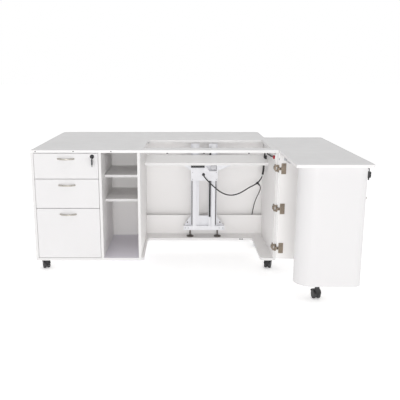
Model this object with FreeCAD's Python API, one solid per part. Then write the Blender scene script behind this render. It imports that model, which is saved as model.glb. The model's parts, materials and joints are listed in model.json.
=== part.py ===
import FreeCAD, Part
import math
import os

# Sewing table: a cabinet with an electric machine lift, two drop leaves and a
# hinged storage wing.  Millimetres.  While the pieces are made, x runs from the
# main top's left edge, y from its front edge (towards the rear) and z from the
# floor.  write_parts() then moves everything so that the origin is at the
# middle of the table's footprint, on the floor.

V = FreeCAD.Vector

# ---------------------------------------------------------------- driving sizes
BOARD = 16.0                 # thickness of every melamine board
TABLE_H = 762.0              # floor to the top surface
UNDER_TOP = TABLE_H - BOARD
MAIN_W = 1465.0
MAIN_D = 648.0
BODY_D = 600.0               # depth of the cabinet's side panels
BASE_Z = 81.0                # underside of the base board
FLOOR_Z = BASE_Z + BOARD     # upper face of the base board
TOPS_GAP = 1.0               # gap between neighbouring tops
REAR_LEAF_D = 353.0
SIDE_LEAF_W = 399.0
WING_TOP_D = 521.0

# upright boards, left faces
DRAWER_DIV_X = 399.0
CUBBY_DIV_X = 628.0
KNEE_X0 = CUBBY_DIV_X + BOARD
RIGHT_X = MAIN_W - BOARD
STORAGE_BACK_Y = 504.0
KNEE_BACK_Y = BODY_D - BOARD
CABLE_SLOT_H = 53.0          # slot under the knee space's back panel

# opening for the machine, in the main top
OPEN_X = (664.0, 1429.0)
OPEN_Y = (100.0, 490.0)
OPEN_R = 6.0

# foot cut-out in the base board
FOOT_X = (659.0, 1373.0)
FOOT_D = 422.0
FOOT_R = 22.0

RAIL_Y = 535.0               # rear rail, front face
RAIL_TOP = 231.0
SHELF_SET_BACK = 147.0
SHELF_TOPS = (588.0, 435.0)
INSERTS_X = (30.0, 253.0, 475.0)
BUMPERS_X = (806.0, 1022.0, 1287.0)

# drawers: name, lower and upper edge of the front, height of the box, handle height
DRAWERS = (
    ("top", 591.0, 743.0, 100.0, 710.0),
    ("middle", 412.0, 588.0, 130.0, 552.0),
    ("bottom", 99.5, 409.0, 235.0, 373.0),
)
FRONT_GAP = 2.0
DRAWER_D = 440.0
DRAWER_BOARD = 12.0
RUNNER_W = 13.0
RUNNER_H = 35.0
HANDLE_CENTRES = 96.0
HANDLE_OUT = 24.0

# locks: the drawer's in x and z, the wing's in y and z
LOCK_R = 9.0
LOCK_LEN = 22.0
PLUG_R = 5.0
KEY_IN = 2.0                 # the key's bow, out from the board's face
KEY_OUT = 24.0
KEY_THICK = 6.0
FIT = 0.05                   # radial clearance of every running fit
DRAWER_LOCK = (363.0, 724.0)
WING_LOCK = (-425.0, 726.0)

# drop-leaf hinges and their folding braces
LEAF_PIN_R = 1.5
LEAF_KNUCKLE_R = 3.4
LEAF_HINGE_HALF = 30.0
REAR_AXIS = (648.5, 742.0)   # y, z
SIDE_AXIS = (1470.0, 741.0)  # x, z
REAR_HINGES_X = (160.0, 732.0, 1305.0)
SIDE_HINGES_Y = (120.0, 324.0, 530.0)
REAR_BRACE = (220.0, -7.0, 262.5)    # pivot from the hinge axis: out, up; reach at 45 degrees
SIDE_BRACE = (175.0, 0.0, 175.0)
REAR_BRACES_X = (8.0, 636.0, 1457.0)
SIDE_BRACES_Y = (200.0, 450.0)
BRACE_HALF_W = 7.0
BRACE_R = 3.4
BRACE_PIN_R = 1.5

# wing
WING_AXIS = (1460.0, -6.0)   # x, y
WING_X = (1467.0, 1848.0)    # hinge edge and door face
WING_Z = 98.0                # underside
WING_FRONT = -480.0          # outer face of the end panel
WING_LEFT_X = 1500.0
WING_LEFT_R = 92.0
WING_RIGHT_R = 40.0
WING_INNER_X = 1592.0
WING_SHELVES = (300.0, 510.0)
WING_HINGES_Z = (655.0, 412.0, 167.0)
WING_KNUCKLE_R = 5.5
WING_PIN_R = 2.5
DOOR_AXIS = (1851.5, -19.5)  # x, y
DOOR_HINGES_Z = (640.0, 205.0)
DOOR_KNUCKLE_R = 3.0

# casters: name, swivel axis x and y, height, swivel angle in degrees
WHEEL_R = 25.0
WHEEL_W = 15.0
WEB_W = 9.0
TRAIL = 16.0
KINGPIN_R = 4.0
CASTERS = (
    ("front_left", 42.0, 84.0, BASE_Z, 25.0),
    ("front_right", 1430.0, 84.0, BASE_Z, -20.0),
    ("rear_left", 54.0, 544.0, BASE_Z, 70.0),
    ("rear_right", 1428.0, 540.0, BASE_Z, 12.0),
    ("wing", 1630.0, -409.0, WING_Z, 8.0),
)

# lift
LIFT_X = 1041.0              # centre plane
COLUMN_Y = (446.0, 486.0)
COLUMN_TOP = 740.0
BEAM_Z = (147.0, 176.0)
HEAD_HALF_W = 89.0
HEAD_Y = (399.0, 442.0)
HEAD_Z = (501.0, 654.0)
BAY_Z = (566.0, 612.0)       # the motor's bay in the head
BAY_D = 26.0
BAR_Z = (590.0, 606.0)
BRACKET_REACH = (110.0, 220.0)
BRACKET_H = 86.0
PLATFORM_X = (667.0, 1419.0)
PLATFORM_Y = (103.0, 425.0)
TUBE_X = 1081.0
TUBE_Y = 452.5
TUBE_Z = (240.0, 715.0)
TUBE_R = 5.5
GLAND_X = 1035.0
GLAND_Z = 543.0

# switch on the right side panel
SWITCH_Y = 25.0
SWITCH_Z = 717.0
SWITCH_HALF = 20.0
SWITCH_D = 6.0
BUTTON_R = 11.0
BUTTON_OUT = 10.0
BUTTON_TRAVEL = 3.0

# cords: radius and the points that the centre line bends towards
CABLE_R = 4.0
LEAD_R = 3.0
CABLE_ROUTE = (
    (1035, 384.6, 543), (1035, 360, 542), (1043, 336, 534), (1061, 320, 516), (1088, 316, 490),
    (1117, 321, 462), (1149, 333, 436), (1186, 348, 417), (1226, 364, 410), (1266, 381, 415), (1303, 397, 431),
    (1342, 413, 453), (1380, 426, 468), (1409, 433, 488), (1427, 430, 518), (1434, 417, 558),
    (1434, 403, 602), (1436, 396, 648), (1435, 382, 688), (1436, 354, 712), (1435, 318, 714), (1436, 280, 703),
    (1437, 238, 700), (1440, 196, 704), (1442, 156, 703), (1443, 118, 708), (1444, 82, 708), (1444.6, 45, 712),
)
LEAD_ROUTE = (
    (1400, 430.5, 478), (1419, 441, 462), (1425, 455, 436), (1415, 471, 401), (1401, 487, 363),
    (1393, 511, 323), (1389, 535, 282), (1386, 558, 245), (1383, 565, 202), (1380, 571, 152),
    (1379, 581, 126), (1377, 603, 110), (1373, 628, 92), (1371, 644, 62), (1368, 655, 30),
    (1358, 680, 8), (1341, 712, 3.2), (1312, 743, 3.6), (1276, 763, 5),
)
COIL_X = 1262.0
COIL_Y = 730.0
COIL_IN_R = 25.0
COIL_OUT_R = 41.0
COIL_H = 20.0
PLUG_Y = COIL_Y + 33.0
PLUG_X = 1165.0              # the face that carries the pins
CORD_NODES = ("lift_cable", "mains_lead", "mains_coil", "mains_plug")

NODES = {}


# ---------------------------------------------------------------- helpers
def block(x0, x1, y0, y1, z0, z1):
    """A box given by any two opposite corners."""
    low = V(min(x0, x1), min(y0, y1), min(z0, z1))
    return Part.makeBox(abs(x1 - x0), abs(y1 - y0), abs(z1 - z0), low)


def rod(radius, length, x, y, z, axis):
    return Part.makeCylinder(radius, length, V(x, y, z), V(*axis))


def fuse(*shapes):
    return shapes[0].multiFuse(list(shapes[1:])).removeSplitter()


def round_corners(solid, radius, corners):
    """Round the upright edges of a board that stand at the given (x, y) corners."""
    picked = []
    for edge in solid.Edges:
        a = edge.Vertexes[0].Point
        b = edge.Vertexes[-1].Point
        upright = abs(a.x - b.x) < 0.01 and abs(a.y - b.y) < 0.01
        if upright and any(math.hypot(a.x - x, a.y - y) < 0.5 for x, y in corners):
            picked.append(edge)
    return solid.makeFillet(radius, picked)


def prism(points, direction):
    """A straight-sided solid on a closed outline of (x, y, z) points."""
    corners = [V(*p) for p in points]
    return Part.Face(Part.makePolygon(corners + [corners[0]])).extrude(V(*direction))


def place(shape, x, y, z, turn):
    """Turn a shape about the z axis by some degrees, then move it."""
    moved = shape.copy()
    moved.rotate(V(0, 0, 0), V(0, 0, 1), turn)
    moved.translate(V(x, y, z))
    return moved


def add(name, *solids):
    NODES[name] = Part.makeCompound(list(solids))


# ---------------------------------------------------------------- cabinet
def carcass():
    add("left_side_panel", block(0, BOARD, 0, BODY_D, FLOOR_Z, UNDER_TOP))
    add("right_side_panel", block(RIGHT_X, MAIN_W, 0, BODY_D, FLOOR_Z, UNDER_TOP))
    add("dividers",
        block(DRAWER_DIV_X, DRAWER_DIV_X + BOARD, 0, STORAGE_BACK_Y, FLOOR_Z, UNDER_TOP),
        block(CUBBY_DIV_X, KNEE_X0, 0, BODY_D, FLOOR_Z, UNDER_TOP))
    add("back_panels_and_rail",
        block(BOARD, CUBBY_DIV_X, STORAGE_BACK_Y, STORAGE_BACK_Y + BOARD, FLOOR_Z, UNDER_TOP),
        block(KNEE_X0, RIGHT_X, KNEE_BACK_Y, BODY_D, FLOOR_Z + CABLE_SLOT_H, UNDER_TOP),
        block(KNEE_X0, RIGHT_X, RAIL_Y, RAIL_Y + BOARD, FLOOR_Z, RAIL_TOP))
    shelves = []
    for top in SHELF_TOPS:
        shelves.append(block(DRAWER_DIV_X + BOARD, CUBBY_DIV_X, SHELF_SET_BACK, STORAGE_BACK_Y,
                             top - BOARD, top))
    add("cubby_shelves", *shelves)


def base_board():
    board = block(0, MAIN_W, 0, BODY_D, BASE_Z, FLOOR_Z)
    board = board.cut(block(FOOT_X[0], FOOT_X[1], -1, FOOT_D, BASE_Z - 1, FLOOR_Z + 1))
    corners = [(x, y) for x in FOOT_X for y in (0, FOOT_D)]
    add("base_board", round_corners(board, FOOT_R, corners))


def main_top():
    board = block(0, MAIN_W, 0, MAIN_D, UNDER_TOP, TABLE_H)
    board = board.cut(block(OPEN_X[0], OPEN_X[1], OPEN_Y[0], OPEN_Y[1], UNDER_TOP - 1, TABLE_H + 1))
    board = round_corners(board, OPEN_R, [(x, y) for x in OPEN_X for y in OPEN_Y])
    insert_r = 3.5
    insert_len = 12.0
    insert_z = TABLE_H - BOARD / 2
    small = []
    for x in INSERTS_X:
        board = board.cut(rod(insert_r, insert_len, x, 0, insert_z, (0, 1, 0)))
        sleeve = rod(insert_r, insert_len, x, 0, insert_z, (0, 1, 0))
        small.append(sleeve.cut(rod(2.0, insert_len - 2, x, 0, insert_z, (0, 1, 0))))
    for x in BUMPERS_X:
        small.append(rod(5.0, 5.0, x, 7.0, UNDER_TOP, (0, 0, -1)))
    add("main_top", board)
    add("edge_inserts_and_bumpers", *small)


def angle_bracket(x, y, side):
    """A steel angle in the corner between a top and an upright board."""
    flat = block(x, x + side * 30, y, y + 18, UNDER_TOP - 2, UNDER_TOP)
    return fuse(flat, block(x, x + side * 2, y, y + 18, UNDER_TOP - 30, UNDER_TOP))


def fittings():
    """Angles under the main top, the drawer lock's strike and the shelf pins."""
    pieces = []
    for x, side in ((CUBBY_DIV_X, -1), (KNEE_X0, 1)):
        for y in (40.0, 470.0):
            pieces.append(angle_bracket(x, y, side))
    pieces.append(angle_bracket(RIGHT_X, 520.0, -1))
    strike_x = DRAWER_LOCK[0] - 11
    pieces.append(block(strike_x, strike_x + 22, 18, 20, UNDER_TOP - 11, UNDER_TOP))
    pin_r = 2.5
    for top in SHELF_TOPS:
        for y in (SHELF_SET_BACK + 30, STORAGE_BACK_Y - 40):
            pin_z = top - BOARD - pin_r
            pieces.append(rod(pin_r, 10.0, DRAWER_DIV_X + BOARD, y, pin_z, (1, 0, 0)))
            pieces.append(rod(pin_r, 10.0, CUBBY_DIV_X, y, pin_z, (-1, 0, 0)))
    return pieces


# ---------------------------------------------------------------- handles and locks
def bow_handle():
    """An oval bar bent to an arc, feet on the plane y = 0, bow towards -y."""
    half = HANDLE_CENTRES / 2 + 4
    arc_r = (half * half + HANDLE_OUT * HANDLE_OUT) / (2 * HANDLE_OUT)
    thick_r = 3.0
    wide_r = 5.0
    oval = Part.Ellipse(V(0, 0, 0), wide_r, thick_r)
    wire = Part.Wire(oval.toShape())
    wire.rotate(V(0, 0, 0), V(0, 1, 0), 90)
    wire.rotate(V(0, 0, 0), V(0, 0, 1), 90)
    wire.translate(V(arc_r - thick_r, 0, 0))
    wire.rotate(V(0, 0, 0), V(0, 0, 1), -180)
    half_ring = Part.Face(wire).revolve(V(0, 0, 0), V(0, 0, 1), 180)
    bow = half_ring.common(block(-arc_r, arc_r, -arc_r, -(arc_r - HANDLE_OUT), -wide_r - 1, wide_r + 1))
    bow.translate(V(0, arc_r - HANDLE_OUT, 0))
    return bow


def lock_case():
    """Rim and barrel of a cam lock, outer face of the board on the plane y = 0."""
    rim = rod(12.5, 2.5, 0, 0, 0, (0, -1, 0))
    barrel = rod(LOCK_R, LOCK_LEN, 0, 0, 0, (0, 1, 0))
    bore = rod(PLUG_R + FIT, LOCK_LEN + 4, 0, -3, 0, (0, 1, 0))
    return fuse(rim, barrel).cut(bore)


def key_and_plug(cam_turn):
    """The lock's turning plug with its cam, and a key whose bow hangs from its shaft."""
    plug = rod(PLUG_R, LOCK_LEN + 5, 0, -4, 0, (0, 1, 0))
    cam = block(-5, 20, LOCK_LEN + 0.6, LOCK_LEN + 2.6, -5, 5)
    cam.rotate(V(0, 0, 0), V(0, -1, 0), cam_turn)
    shaft = rod(2.4, 12, 0, -15, 0, (0, 1, 0))
    link = block(-1.2, 1.2, -15, -10, -16, 0)
    bow = block(-KEY_THICK / 2, KEY_THICK / 2, -KEY_OUT, -KEY_IN, -48, -14)
    picked = [e for e in bow.Edges if abs(e.Vertexes[0].Point.x - e.Vertexes[-1].Point.x) > 1]
    bow = bow.makeFillet(6.0, picked)
    tail = block(-1.5, 1.5, -16, -9, -60, -47)
    return fuse(plug, cam, shaft, link, bow, tail)


# ---------------------------------------------------------------- drawers
def drawers():
    x0 = BOARD + FRONT_GAP
    x1 = DRAWER_DIV_X - FRONT_GAP
    box_x = (BOARD + RUNNER_W, DRAWER_DIV_X - RUNNER_W)
    inner_x = (box_x[0] + DRAWER_BOARD, box_x[1] - DRAWER_BOARD)
    rear = BOARD + DRAWER_D
    channels = []
    for name, z0, z1, box_h, handle_z in DRAWERS:
        front = block(x0, x1, 0, BOARD, z0, z1)
        if name == "top":
            front = front.cut(rod(LOCK_R + 0.1, BOARD, DRAWER_LOCK[0], 0, DRAWER_LOCK[1], (0, 1, 0)))
        low = z0 + 14
        high = low + box_h
        add(name + "_drawer", front,
            block(box_x[0], inner_x[0], BOARD, rear, low, high),
            block(inner_x[1], box_x[1], BOARD, rear, low, high),
            block(inner_x[0], inner_x[1], rear - DRAWER_BOARD, rear, low, high),
            block(inner_x[0], inner_x[1], BOARD, rear - DRAWER_BOARD, low, low + 6))
        add(name + "_drawer_handle", place(bow_handle(), (x0 + x1) / 2, 0, handle_z, 0))
        runner_z = low + 28
        moving = []
        for wall, side in ((box_x[0], -1), (box_x[1], 1)):
            moving.append(block(wall, wall + side * 4.5, BOARD + 4, rear - 4,
                                runner_z + 5, runner_z + RUNNER_H - 5))
            channels.append(block(wall + side * 5.5, wall + side * RUNNER_W, BOARD + 4, rear - 4,
                                  runner_z, runner_z + RUNNER_H))
        add(name + "_drawer_runners", *moving)
    add("runners_and_brackets", *channels, *fittings())
    add("drawer_lock", place(lock_case(), DRAWER_LOCK[0], 0, DRAWER_LOCK[1], 0))
    add("drawer_key", place(key_and_plug(0), DRAWER_LOCK[0], 0, DRAWER_LOCK[1], 0))


# ---------------------------------------------------------------- drop leaves
def leaf_hinge(fixed_plate, fixed_tab, moving_plate, moving_tab):
    """Both halves of a hinge whose pin lies on the x axis, centred on x = 0.

    Plates and tabs are (y0, y1, z0, z1) sections measured from the pin.
    """
    half = LEAF_HINGE_HALF
    middle = 10.0
    outer = ((-half, -middle - 0.5), (middle + 0.5, half))
    bore = rod(LEAF_PIN_R + FIT, 2 * half + 2, -half - 1, 0, 0, (1, 0, 0))
    fixed = [block(-half, half, *fixed_plate)]
    for x0, x1 in outer:
        fixed.append(block(x0, x1, *fixed_tab))
        fixed.append(rod(LEAF_KNUCKLE_R, x1 - x0, x0, 0, 0, (1, 0, 0)))
    moving = [block(-half, half, *moving_plate), block(-middle, middle, *moving_tab)]
    moving.append(rod(LEAF_KNUCKLE_R, 2 * middle, -middle, 0, 0, (1, 0, 0)))
    pin = rod(LEAF_PIN_R, 2 * half + 2, -half - 1, 0, 0, (1, 0, 0))
    head = rod(2.6, 1.0, half, 0, 0, (1, 0, 0))
    tail = rod(2.6, 1.0, -half, 0, 0, (-1, 0, 0))
    return fuse(*fixed).cut(bore), fuse(*moving).cut(bore), fuse(pin, head, tail)


def brace(out, up, reach):
    """A folding brace and its lug, in the plane of y and z, pin along x.

    out and up place the pivot from the hinge axis.  The bar falls back towards
    the cabinet at 45 degrees, by reach.
    """
    length = reach * math.sqrt(2)
    bar = block(-BRACE_HALF_W, BRACE_HALF_W, -length, 0, -3, 3)
    ends = [rod(BRACE_R, 2 * BRACE_HALF_W, -BRACE_HALF_W, y, 0, (1, 0, 0)) for y in (-length, 0)]
    bar = fuse(bar, *ends).cut(rod(BRACE_PIN_R + FIT, 20, -10, 0, 0, (1, 0, 0)))
    bar.rotate(V(0, 0, 0), V(1, 0, 0), 45)
    bar.translate(V(0, out, up))
    return bar


def brace_lug(out, up, under):
    """The lug under a leaf that holds a brace's pin; under is the leaf's underside."""
    cheek_w = 2.0
    inner = BRACE_HALF_W + 0.5
    outer = inner + cheek_w
    lug = [block(-outer, outer, out - 12, out + 12, under - 1.5, under)]
    for side in (-1, 1):
        cheek = block(side * inner, side * outer, out - 4, out + 4, up - 3.4, under)
        lug.append(cheek)
    lug.append(rod(BRACE_PIN_R, 2 * outer, -outer, out, up, (1, 0, 0)))
    return fuse(*lug)


def rear_leaf():
    y0 = MAIN_D + TOPS_GAP
    board = block(0, MAIN_W, y0, y0 + REAR_LEAF_D, UNDER_TOP, TABLE_H)
    board = round_corners(board, 30.0, ((0, y0 + REAR_LEAF_D), (MAIN_W, y0 + REAR_LEAF_D)))
    add("rear_leaf", board)
    axis_y, axis_z = REAR_AXIS
    under = UNDER_TOP - axis_z
    top = LEAF_KNUCKLE_R
    fixed, moving, pin = leaf_hinge((-30, -4.5, under - 1.5, under), (-5, 0, top - 2, top),
                                    (4.5, 30, under - 1.5, under), (0, 5, top - 2, top))
    cabinet_side = []
    leaf_side = []
    for x in REAR_HINGES_X:
        cabinet_side.append(place(fixed, x, axis_y, axis_z, 0))
        cabinet_side.append(place(pin, x, axis_y, axis_z, 0))
        leaf_side.append(place(moving, x, axis_y, axis_z, 0))
    out, up, reach = REAR_BRACE
    bars = []
    for x in REAR_BRACES_X:
        shift = 1.5 if x < BOARD else -1.5
        leaf_side.append(place(brace_lug(out, up, under), x + shift, axis_y, axis_z, 0))
        bars.append(place(brace(out, up, reach), x + shift, axis_y, axis_z, 0))
        cabinet_side.append(block(x - 8, x + 8, BODY_D, BODY_D + 1.5, 160, 490))
    add("rear_leaf_hardware", *leaf_side)
    add("rear_leaf_braces", *bars)
    return cabinet_side


def side_leaf():
    x0 = MAIN_W + TOPS_GAP
    board = block(x0, x0 + SIDE_LEAF_W, TOPS_GAP, MAIN_D, UNDER_TOP, TABLE_H)
    add("side_leaf", board)
    axis_x, axis_z = SIDE_AXIS
    under = UNDER_TOP - axis_z
    wall = MAIN_W - axis_x
    fixed, moving, pin = leaf_hinge((wall, wall + 1.5, -36, -5), (wall, wall + 3, -8, 0),
                                    (4.5, 30, under - 1.5, under), (0, 6, 1.6, under))
    cabinet_side = []
    leaf_side = []
    turn = -90
    for y in SIDE_HINGES_Y:
        cabinet_side.append(place(fixed, axis_x, y, axis_z, turn))
        cabinet_side.append(place(pin, axis_x, y, axis_z, turn))
        leaf_side.append(place(moving, axis_x, y, axis_z, turn))
    out, up, reach = SIDE_BRACE
    bars = []
    for y in SIDE_BRACES_Y:
        leaf_side.append(place(brace_lug(out, up, under), axis_x, y, axis_z, turn))
        bars.append(place(brace(out, up, reach), axis_x, y, axis_z, turn))
    add("side_leaf_hardware", *leaf_side)
    add("side_leaf_braces", *bars)
    return cabinet_side


# ---------------------------------------------------------------- wing
def end_panel():
    """The wing's bowed end: a board with a wide and a narrow rounded corner."""
    def outline(inset):
        left_r = WING_LEFT_R - inset
        right_r = WING_RIGHT_R - inset
        cl = V(WING_LEFT_X + WING_LEFT_R, WING_FRONT + WING_LEFT_R, WING_Z)
        cr = V(WING_X[1] - WING_RIGHT_R, WING_FRONT + WING_RIGHT_R, WING_Z)
        s = math.sqrt(0.5)
        a = cl + V(-left_r, 0, 0)
        b = cl + V(0, -left_r, 0)
        c = cr + V(0, -right_r, 0)
        d = cr + V(right_r, 0, 0)
        arc_l = Part.Arc(a, cl + V(-left_r * s, -left_r * s, 0), b).toShape()
        arc_r = Part.Arc(c, cr + V(right_r * s, -right_r * s, 0), d).toShape()
        return [arc_l, Part.makeLine(b, c), arc_r], a, d
    outer, a0, d0 = outline(0)
    inner, a1, d1 = outline(BOARD)
    wire = Part.Wire(Part.__sortEdges__(outer + inner + [Part.makeLine(a0, a1), Part.makeLine(d0, d1)]))
    return Part.Face(wire).extrude(V(0, 0, UNDER_TOP - WING_Z))


def wing_level(z):
    """A shelf or base board between the inner back panel and the door."""
    board = block(WING_INNER_X + 12, WING_X[1] - BOARD - 0.5, WING_FRONT + BOARD, -BOARD - 2, z, z + BOARD)
    corner = ((WING_X[1] - BOARD - 0.5, WING_FRONT + BOARD),)
    return round_corners(board, WING_RIGHT_R - BOARD + 1.0, corner)


def wing():
    y_hinge = -2.0
    top = block(MAIN_W + TOPS_GAP, MAIN_W + TOPS_GAP + SIDE_LEAF_W, -TOPS_GAP - WING_TOP_D, -TOPS_GAP,
                UNDER_TOP, TABLE_H)
    add("wing_top", round_corners(top, 22.0, ((MAIN_W + TOPS_GAP + SIDE_LEAF_W, -TOPS_GAP - WING_TOP_D),)))
    add("wing_end_panel", end_panel())
    inner_back = block(WING_INNER_X, WING_INNER_X + 12, WING_FRONT + BOARD, -BOARD - 2, WING_Z, UNDER_TOP)
    levels = [wing_level(z) for z in (WING_Z,) + WING_SHELVES]
    add("wing_boards", block(WING_X[0], WING_X[1], y_hinge - BOARD, y_hinge, WING_Z, UNDER_TOP),
        inner_back, *levels)
    door = block(WING_X[1] - BOARD, WING_X[1], WING_FRONT + WING_RIGHT_R + 2, -BOARD - 6,
                 WING_Z + 3, UNDER_TOP - 3)
    door = door.cut(rod(LOCK_R + 0.1, BOARD, WING_X[1], WING_LOCK[0], WING_LOCK[1], (-1, 0, 0)))
    add("wing_door", door)


def wing_hinges():
    """Three hinges between the right side panel and the wing, pins upright."""
    ax, ay = WING_AXIS
    cabinet_side = []
    arms = []
    middle = 8.0
    end = 20.0
    panel_y = -18.0 - ay
    wall = RIGHT_X - ax
    for z in WING_HINGES_Z:
        bore = rod(WING_PIN_R + FIT, 2 * end + 4, 0, 0, -end - 2, (0, 0, 1))
        fixed = [block(wall - 4, wall, 3.5, 38, -end, end), block(wall - 11, wall - 4, 8, 34, -9, 9)]
        for z0, z1 in ((-end, -middle - 0.5), (middle + 0.5, end)):
            fixed.append(block(wall - 4, 0, 3.5, 5.5, z0, z1))
            fixed.append(rod(WING_KNUCKLE_R, z1 - z0, 0, 0, z0, (0, 0, 1)))
        cabinet_side.append(place(fuse(*fixed).cut(bore), ax, ay, z, 0))
        pin = fuse(rod(WING_PIN_R, 2 * end, 0, 0, -end, (0, 0, 1)),
                   rod(WING_PIN_R + 1.5, 1.5, 0, 0, end, (0, 0, 1)),
                   rod(WING_PIN_R + 1.5, 1.5, 0, 0, -end, (0, 0, -1)))
        cabinet_side.append(place(pin, ax, ay, z, 0))
        knuckle = rod(WING_KNUCKLE_R, 2 * middle, 0, 0, -middle, (0, 0, 1))
        link = block(-3, 20, panel_y - 6, -4, -middle, middle)
        link = link.cut(block(7 - 0.01, 21, panel_y, 0, -middle - 1, middle + 1))
        cup = block(18, 46, panel_y - 3, panel_y, -32, 32)
        boss = block(20, 38, panel_y - 8, panel_y - 3, -14, 14)
        arms.append(place(fuse(knuckle, link, cup, boss).cut(bore), ax, ay, z, 0))
    add("wing_hinge_plates", *cabinet_side)
    return arms


def door_hardware():
    """The door's two hinges, its handle and its lock; returns the wing's halves."""
    ax, ay = DOOR_AXIS
    wing_side = []
    door_side = []
    r = DOOR_KNUCKLE_R
    face = WING_X[1] - ax
    for z in DOOR_HINGES_Z:
        bore = rod(LEAF_PIN_R + FIT, 44, 0, 0, -22, (0, 0, 1))
        fixed = [block(face, face + 1.5, 2.5, 16, -20, 20)]
        for z0, z1 in ((-20, -7.5), (7.5, 20)):
            fixed.append(block(face, 0, 0, 2.9, z0, z1))
            fixed.append(rod(r, z1 - z0, 0, 0, z0, (0, 0, 1)))
        wing_side.append(place(fuse(*fixed).cut(bore), ax, ay, z, 0))
        pin = fuse(rod(LEAF_PIN_R, 42, 0, 0, -21, (0, 0, 1)), rod(2.4, 1, 0, 0, 20, (0, 0, 1)),
                   rod(2.4, 1, 0, 0, -20, (0, 0, -1)))
        wing_side.append(place(pin, ax, ay, z, 0))
        flap = fuse(block(face, face + 1.5, -25, -3.5, -20, 20), block(face, 0, -4, 0, -7, 7),
                    rod(r, 14, 0, 0, -7, (0, 0, 1))).cut(bore)
        door_side.append(place(flap, ax, ay, z, 0))
    add("wing_door_hinge_flaps", *door_side)
    add("wing_door_handle", place(bow_handle(), WING_X[1], -378.0, 565.0, 90))
    add("wing_lock", place(lock_case(), WING_X[1], WING_LOCK[0], WING_LOCK[1], 90))
    add("wing_key", place(key_and_plug(-90), WING_X[1], WING_LOCK[0], WING_LOCK[1], 90))
    return wing_side


# ---------------------------------------------------------------- casters
def caster(height):
    """Plate, housing and wheels of a twin-wheel caster on a swivel axis at 0, 0."""
    plate = fuse(block(-21, 21, -21, 21, height - 2.5, height),
                 rod(KINGPIN_R, 22, 0, 0, height - 24, (0, 0, 1)),
                 rod(16, 3, 0, 0, height - 5.5, (0, 0, 1)))
    neck_low = 2 * WHEEL_R - 4
    half_web = WEB_W / 2
    half_w = half_web + WHEEL_W + 1.5
    neck = rod(13, height - 6.3 - neck_low, 0, 0, neck_low, (0, 0, 1))
    neck = neck.cut(rod(WHEEL_R + 2, 2 * half_w, -half_w, TRAIL, WHEEL_R, (1, 0, 0)))
    web = fuse(rod(20, WEB_W, -half_web, TRAIL, WHEEL_R, (1, 0, 0)),
               block(-half_web, half_web, -11, TRAIL + 16, WHEEL_R + 8, neck_low + 6))
    hood = rod(WHEEL_R + 5, 2 * half_w, -half_w, TRAIL, WHEEL_R, (1, 0, 0))
    hood = hood.cut(rod(WHEEL_R + 2, 2 * half_w, -half_w, TRAIL, WHEEL_R, (1, 0, 0)))
    hood = hood.common(block(-half_w, half_w, TRAIL - 40, TRAIL + 40, WHEEL_R + 10, 90))
    housing = fuse(neck, web, hood)
    housing = housing.cut(rod(KINGPIN_R + FIT, 60, 0, 0, height - 24.5, (0, 0, 1)))
    housing = housing.cut(rod(3.0 + FIT, 60, -30, TRAIL, WHEEL_R, (1, 0, 0)))
    wheels = []
    for side in (-1, 1):
        inner = side * (half_web + 0.8)
        wheel = rod(WHEEL_R, WHEEL_W, inner, TRAIL, WHEEL_R, (side, 0, 0))
        rims = [e for e in wheel.Edges if isinstance(e.Curve, Part.Circle)]
        wheel = wheel.makeFillet(3.0, rims)
        outer = inner + side * WHEEL_W
        groove = rod(19, 2, outer, TRAIL, WHEEL_R, (-side, 0, 0))
        groove = groove.cut(rod(9, 2, outer, TRAIL, WHEEL_R, (-side, 0, 0)))
        wheels.append(wheel.cut(groove))
    axle = rod(3.0, 2 * (half_web + 6), -half_web - 6, TRAIL, WHEEL_R, (1, 0, 0))
    return plate, housing, fuse(wheels[0], wheels[1], axle)


def casters():
    """All casters; returns the wing caster's plate, which belongs to the wing."""
    plates = []
    wing_plate = None
    for name, x, y, height, turn in CASTERS:
        plate, housing, wheels = caster(height)
        add("caster_housing_" + name, place(housing, x, y, 0, turn))
        add("caster_wheels_" + name, place(wheels, x, y, 0, turn))
        placed = place(plate, x, y, 0, 0)
        if name == "wing":
            wing_plate = placed
        else:
            plates.append(placed)
    add("caster_plates", *plates)
    return wing_plate


# ---------------------------------------------------------------- lift
def lift_column(side):
    """One column; its moving shoe's slot is on the outer side of its front."""
    face_in = 51.0
    face_out = 76.0
    outer = 88.0
    inner = 32.0
    y0, y1 = COLUMN_Y
    body = block(inner, outer, y0 + 14, y1, BEAM_Z[1], COLUMN_TOP)
    face = block(face_in, face_out, y0, y0 + 14, BEAM_Z[1], COLUMN_TOP)
    lip = block(outer - 2, outer, y0, y0 + 14, BEAM_Z[1], COLUMN_TOP)
    column = fuse(body, face, lip)
    if side < 0:
        column = column.mirror(V(0, 0, 0), V(1, 0, 0))
    return place(column, LIFT_X, 0, 0, 0)


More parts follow.
